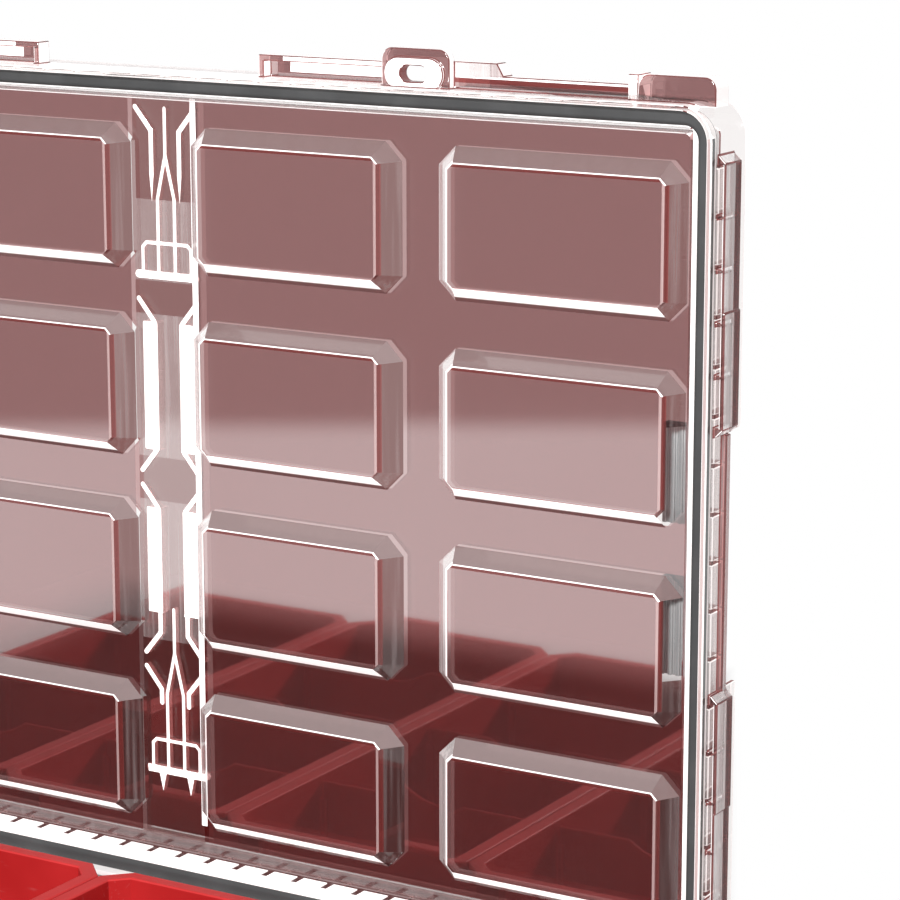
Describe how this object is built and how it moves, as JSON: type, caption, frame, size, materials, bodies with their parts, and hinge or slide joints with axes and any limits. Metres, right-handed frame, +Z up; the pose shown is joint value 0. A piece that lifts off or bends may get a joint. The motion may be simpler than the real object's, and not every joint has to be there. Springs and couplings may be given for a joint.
{
  "type": "compartment organizer",
  "caption": "Shallow case for small parts: lift-out bins with removable dividers in a tray, under a clear hinged lid with a gasket, latches and a carry handle.",
  "frame": {"origin": "centre of the tray's underside, on the plane of its feet", "axes": "+Z up, front with the latches and handle at -Y, hinge at +Y, +X to the right seen from the front"},
  "size_m": [0.502, 0.3654, 0.3632],
  "materials": {
    "tray_red": "fine moulded texture",
    "bin_red": "satin",
    "divider_red": "satin",
    "lid_clear": "polished, tinted clear",
    "gasket_rubber": "matte",
    "handle_charcoal": "fine moulded texture",
    "grip_rubber": "matte",
    "latch_charcoal": "fine moulded texture",
    "latch_grey": "satin",
    "pin_steel": "turned"
  },
  "bodies": {
    "base": {"base_tray": "tray_red", "hinge_pin_right": "pin_steel", "hinge_pin_left": "pin_steel", "handle_pin_right": "pin_steel", "handle_pin_left": "pin_steel", "front_latch_pin_right": "pin_steel", "front_latch_pin_left": "pin_steel", "side_latch_pin_right": "pin_steel", "side_latch_pin_left": "pin_steel"},
    "lid": {"clear_lid": "lid_clear", "lid_gasket": "gasket_rubber", "lid_cleat_right": "latch_grey", "lid_cleat_left": "latch_grey"},
    "handle": {"carry_handle": "handle_charcoal", "handle_grip": "grip_rubber"},
    "front_latch_right": {"front_latch_right": "latch_charcoal"},
    "front_latch_left": {"front_latch_left": "latch_charcoal"},
    "side_latch_right": {"side_latch_right": "latch_grey"},
    "side_latch_left": {"side_latch_left": "latch_grey"},
    "bin_outer_left": {"bin_outer_left": "bin_red"},
    "bin_inner_left": {"bin_inner_left": "bin_red"},
    "bin_inner_right": {"bin_inner_right": "bin_red"},
    "bin_outer_right": {"bin_outer_right": "bin_red"},
    "divider_outer_left_front": {"divider_outer_left_front": "divider_red"},
    "divider_outer_left_middle": {"divider_outer_left_middle": "divider_red"},
    "divider_outer_left_rear": {"divider_outer_left_rear": "divider_red"},
    "divider_inner_left_front": {"divider_inner_left_front": "divider_red"},
    "divider_inner_left_middle": {"divider_inner_left_middle": "divider_red"},
    "divider_inner_left_rear": {"divider_inner_left_rear": "divider_red"},
    "divider_inner_right_front": {"divider_inner_right_front": "divider_red"},
    "divider_inner_right_middle": {"divider_inner_right_middle": "divider_red"},
    "divider_inner_right_rear": {"divider_inner_right_rear": "divider_red"},
    "divider_outer_right_front": {"divider_outer_right_front": "divider_red"},
    "divider_outer_right_middle": {"divider_outer_right_middle": "divider_red"},
    "divider_outer_right_rear": {"divider_outer_right_rear": "divider_red"}
  },
  "joints": [
    {"name": "lid_hinge", "type": "hinge", "parent": "base", "child": "lid", "pos_m": [0, 0.1515, 0.0514], "axis": [-1, 0, 0], "range_deg": [-90, 0]},
    {"name": "handle_swing", "type": "hinge", "parent": "base", "child": "handle", "pos_m": [0, -0.1541, 0.036], "axis": [-1, 0, 0], "range_deg": [0, 95]},
    {"name": "front_latch_right_turn", "type": "hinge", "parent": "base", "child": "front_latch_right", "pos_m": [0.0725, -0.1578, 0.046], "axis": [1, 0, 0], "range_deg": [-115, 0]},
    {"name": "front_latch_left_turn", "type": "hinge", "parent": "base", "child": "front_latch_left", "pos_m": [-0.0725, -0.1578, 0.046], "axis": [1, 0, 0], "range_deg": [-115, 0]},
    {"name": "side_latch_right_turn", "type": "hinge", "parent": "base", "child": "side_latch_right", "pos_m": [0.22595, 0, 0.046], "axis": [0, 1, 0], "range_deg": [-115, 0]},
    {"name": "side_latch_left_turn", "type": "hinge", "parent": "base", "child": "side_latch_left", "pos_m": [-0.22595, 0, 0.046], "axis": [0, -1, 0], "range_deg": [-115, 0]},
    {"name": "bin_outer_left_lift", "type": "slide", "parent": "base", "child": "bin_outer_left", "axis": [0, 0, 1], "range_m": [0, 0.06]},
    {"name": "bin_inner_left_lift", "type": "slide", "parent": "base", "child": "bin_inner_left", "axis": [0, 0, 1], "range_m": [0, 0.06]},
    {"name": "bin_inner_right_lift", "type": "slide", "parent": "base", "child": "bin_inner_right", "axis": [0, 0, 1], "range_m": [0, 0.06]},
    {"name": "bin_outer_right_lift", "type": "slide", "parent": "base", "child": "bin_outer_right", "axis": [0, 0, 1], "range_m": [0, 0.06]},
    {"name": "divider_outer_left_front_lift", "type": "slide", "parent": "bin_outer_left", "child": "divider_outer_left_front", "axis": [0, 0, 1], "range_m": [0, 0.06]},
    {"name": "divider_outer_left_middle_lift", "type": "slide", "parent": "bin_outer_left", "child": "divider_outer_left_middle", "axis": [0, 0, 1], "range_m": [0, 0.06]},
    {"name": "divider_outer_left_rear_lift", "type": "slide", "parent": "bin_outer_left", "child": "divider_outer_left_rear", "axis": [0, 0, 1], "range_m": [0, 0.06]},
    {"name": "divider_inner_left_front_lift", "type": "slide", "parent": "bin_inner_left", "child": "divider_inner_left_front", "axis": [0, 0, 1], "range_m": [0, 0.06]},
    {"name": "divider_inner_left_middle_lift", "type": "slide", "parent": "bin_inner_left", "child": "divider_inner_left_middle", "axis": [0, 0, 1], "range_m": [0, 0.06]},
    {"name": "divider_inner_left_rear_lift", "type": "slide", "parent": "bin_inner_left", "child": "divider_inner_left_rear", "axis": [0, 0, 1], "range_m": [0, 0.06]},
    {"name": "divider_inner_right_front_lift", "type": "slide", "parent": "bin_inner_right", "child": "divider_inner_right_front", "axis": [0, 0, 1], "range_m": [0, 0.06]},
    {"name": "divider_inner_right_middle_lift", "type": "slide", "parent": "bin_inner_right", "child": "divider_inner_right_middle", "axis": [0, 0, 1], "range_m": [0, 0.06]},
    {"name": "divider_inner_right_rear_lift", "type": "slide", "parent": "bin_inner_right", "child": "divider_inner_right_rear", "axis": [0, 0, 1], "range_m": [0, 0.06]},
    {"name": "divider_outer_right_front_lift", "type": "slide", "parent": "bin_outer_right", "child": "divider_outer_right_front", "axis": [0, 0, 1], "range_m": [0, 0.06]},
    {"name": "divider_outer_right_middle_lift", "type": "slide", "parent": "bin_outer_right", "child": "divider_outer_right_middle", "axis": [0, 0, 1], "range_m": [0, 0.06]},
    {"name": "divider_outer_right_rear_lift", "type": "slide", "parent": "bin_outer_right", "child": "divider_outer_right_rear", "axis": [0, 0, 1], "range_m": [0, 0.06]}
  ]
}
